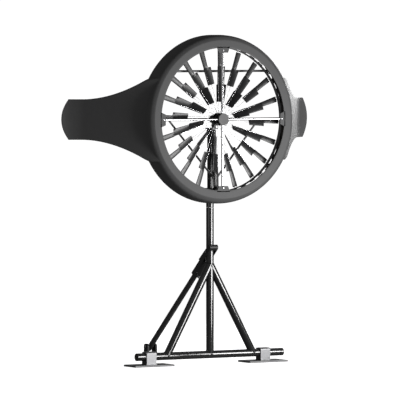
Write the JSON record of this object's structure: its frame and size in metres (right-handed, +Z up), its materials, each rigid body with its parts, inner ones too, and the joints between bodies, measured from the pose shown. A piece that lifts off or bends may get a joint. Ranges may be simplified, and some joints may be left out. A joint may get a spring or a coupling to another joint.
{
  "type": "small wind turbine",
  "caption": "Shrouded rooftop wind turbine: rim-driven rotor in a round cowl with side fins, yawing on a mast over a tilting tripod base.",
  "frame": {"origin": "centre line of the mast at ground level, under the foot plates' plane", "axes": "+X right seen from the wind side, +Y to the rear (downwind), +Z up; the rotor axis is along Y"},
  "size_m": [3.1184, 1.6634, 3.5729],
  "materials": {
    "stand_gloss_black": "gloss black paint",
    "head_black": "satin black paint",
    "cap_plastic": "moulded black plastic",
    "foot_plate_steel": "satin steel plate",
    "clamp_alloy": "satin alloy",
    "strut_matt_black": "matt black powder coat",
    "fastener_steel": "plated steel",
    "bearing_steel": "ground steel",
    "polished_steel": "polished stainless steel",
    "frame_tube": "grey painted tube",
    "cowl_plastic": "satin charcoal moulding",
    "hub_cap_grey": "grey moulding",
    "hub_black": "dark anodised",
    "magnet": "coated magnet blocks",
    "coil": "potted copper windings",
    "contact_brass": "brass rings",
    "brush_block": "moulded block",
    "blade_plastic": "satin moulded blade"
  },
  "bodies": {
    "stand": {"base_tube": "stand_gloss_black", "base_end_caps": "cap_plastic", "mast": "stand_gloss_black", "mast_brace_left": "stand_gloss_black", "mast_brace_right": "stand_gloss_black", "yaw_spindle": "bearing_steel", "slip_ring_drum": "contact_brass"},
    "left_foot": {"foot_plate_left": "foot_plate_steel", "tube_clamp_left": "clamp_alloy", "tube_cradle_left": "strut_matt_black", "clamp_bolts_left": "fastener_steel"},
    "right_foot": {"foot_plate_right": "foot_plate_steel", "tube_clamp_right": "clamp_alloy", "tube_cradle_right": "strut_matt_black", "clamp_bolts_right": "fastener_steel"},
    "strut_upper": {"strut_yoke": "strut_matt_black", "strut_pivot_bolt": "fastener_steel", "strut_lock_screw": "fastener_steel"},
    "strut_lower": {"strut_leg": "strut_matt_black"},
    "rear_foot": {"rear_clevis": "strut_matt_black", "clevis_pin": "fastener_steel", "clevis_bushes": "strut_matt_black"},
    "head": {"yaw_housing": "stand_gloss_black", "yaw_tube": "head_black", "yaw_bearing_lower": "bearing_steel", "yaw_bearing_upper": "bearing_steel", "slip_ring_brushes": "brush_block", "head_top_bracket": "head_black", "head_lower_bracket": "head_black", "head_strut": "head_black", "hub_carrier": "head_black", "main_shaft": "bearing_steel", "shaft_nut": "fastener_steel", "hub_cap": "hub_cap_grey", "cross_tube_top": "polished_steel", "cross_tube_bottom": "polished_steel", "cross_tube_left": "polished_steel", "cross_tube_right": "polished_steel", "rear_bar_left": "frame_tube", "rear_bar_right": "frame_tube", "rear_top_bar": "frame_tube", "rear_brace_left": "frame_tube", "rear_brace_right": "frame_tube", "cowl_shell": "cowl_plastic", "cowl_rear_ring": "cowl_plastic", "cowl_screws": "fastener_steel", "fin_left": "cowl_plastic", "fin_right": "cowl_plastic", "fin_screws": "fastener_steel", "stator_ring": "cowl_plastic", "stator_coils": "coil"},
    "rotor": {"hub_barrel": "hub_black", "hub_bearing_front": "bearing_steel", "hub_bearing_rear": "bearing_steel", "rotor_rim": "polished_steel", "rim_magnets": "magnet", "spokes": "polished_steel", "blades_long": "blade_plastic", "blades_short": "blade_plastic"}
  },
  "joints": [
    {"name": "head_yaw", "type": "hinge", "parent": "stand", "child": "head", "pos_m": [0, 0, 1.72], "axis": [0, 0, 1], "continuous": true},
    {"name": "rotor_spin", "type": "hinge", "parent": "head", "child": "rotor", "pos_m": [0, -0.197, 2.66], "axis": [0, 1, 0], "continuous": true},
    {"name": "left_foot_tilt", "type": "hinge", "parent": "stand", "child": "left_foot", "pos_m": [-0.762, 0, 0.103], "axis": [1, 0, 0], "range_deg": [-30, 30]},
    {"name": "right_foot_tilt", "type": "hinge", "parent": "stand", "child": "right_foot", "pos_m": [0.676, 0, 0.103], "axis": [1, 0, 0], "range_deg": [-30, 30]},
    {"name": "strut_swing", "type": "hinge", "parent": "stand", "child": "strut_upper", "pos_m": [0, 0, 1.22], "axis": [1, 0, 0], "range_deg": [-12, 12]},
    {"name": "strut_extend", "type": "slide", "parent": "strut_upper", "child": "strut_lower", "axis": [0, 0.7604, -0.6494], "range_m": [-0.045, 0.12]},
    {"name": "rear_foot_tilt", "type": "hinge", "parent": "strut_lower", "child": "rear_foot", "pos_m": [0, 1.28737, 0.12048], "axis": [1, 0, 0], "range_deg": [-35, 35]}
  ]
}
